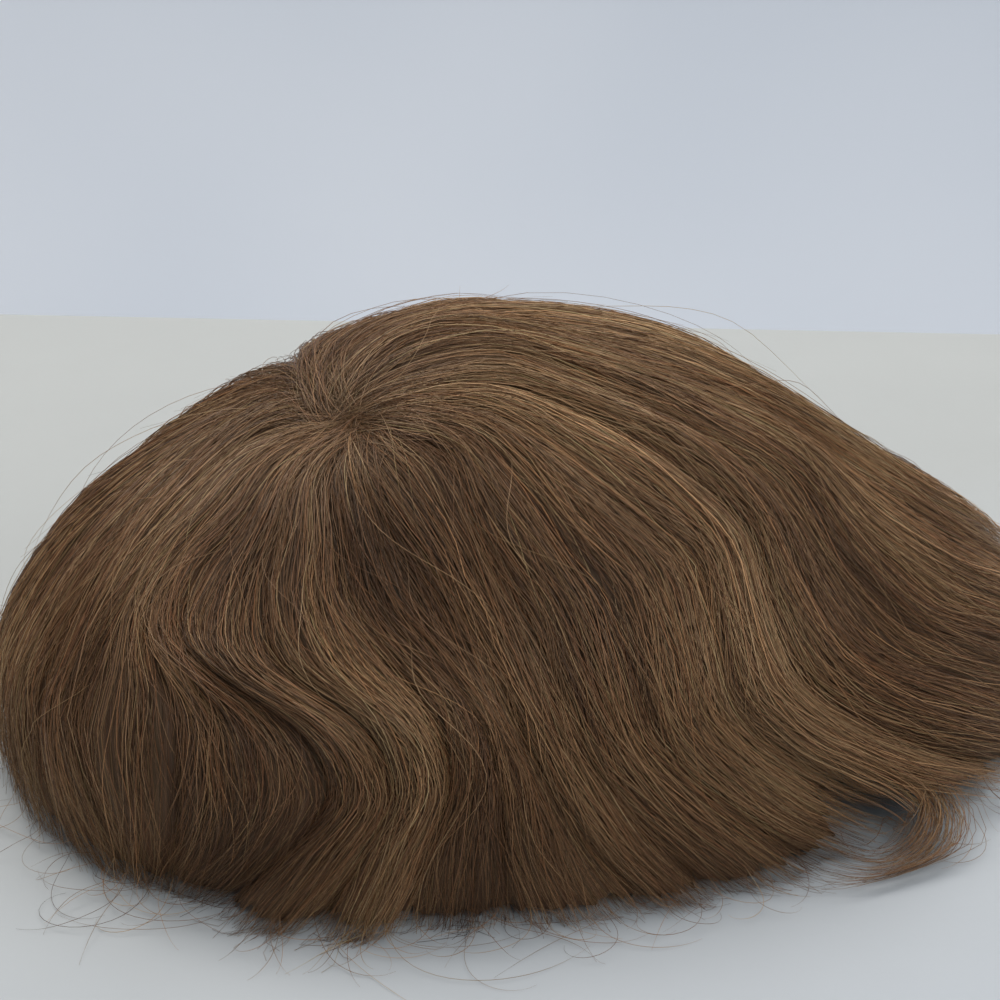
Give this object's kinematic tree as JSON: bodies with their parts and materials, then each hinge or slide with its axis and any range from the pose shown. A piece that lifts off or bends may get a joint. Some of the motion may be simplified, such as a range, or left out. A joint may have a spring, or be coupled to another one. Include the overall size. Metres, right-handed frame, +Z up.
{
  "type": "toupee hairpiece",
  "caption": "Short brown hairpiece for the crown of the head: a domed base cap covered by long combed locks that sweep out from a whorl to a curling hem.",
  "frame": {"origin": "centre of the bounding box in plan, on the table the hem rests on", "axes": "+X towards the forehead end, +Y towards the wearer's left, +Z up from the table"},
  "size_m": [0.3238, 0.2374, 0.1145],
  "materials": {
    "brown_hair": "medium brown hair with fine lighter strands, combed, soft sheen",
    "base_net": "skin tone net, matt"
  },
  "bodies": {
    "root": {"base_cap": "base_net", "crown_whorl": "brown_hair", "left_rear_lock": "brown_hair", "nape_left_lock": "brown_hair", "nape_middle_lock": "brown_hair", "nape_right_lock": "brown_hair", "nape_corner_lock": "brown_hair", "right_rear_lock": "brown_hair", "rear_wave_lock": "brown_hair", "front_wave_lock": "brown_hair", "right_dent_lock": "brown_hair", "right_rear_fall": "brown_hair", "right_front_fall": "brown_hair", "temple_rear_lock": "brown_hair", "temple_middle_lock": "brown_hair", "temple_curl_lock": "brown_hair", "low_sweep_lock": "brown_hair", "middle_sweep_lock": "brown_hair", "top_sweep_lock": "brown_hair", "left_front_lock": "brown_hair", "left_middle_lock": "brown_hair"}
  },
  "joints": []
}
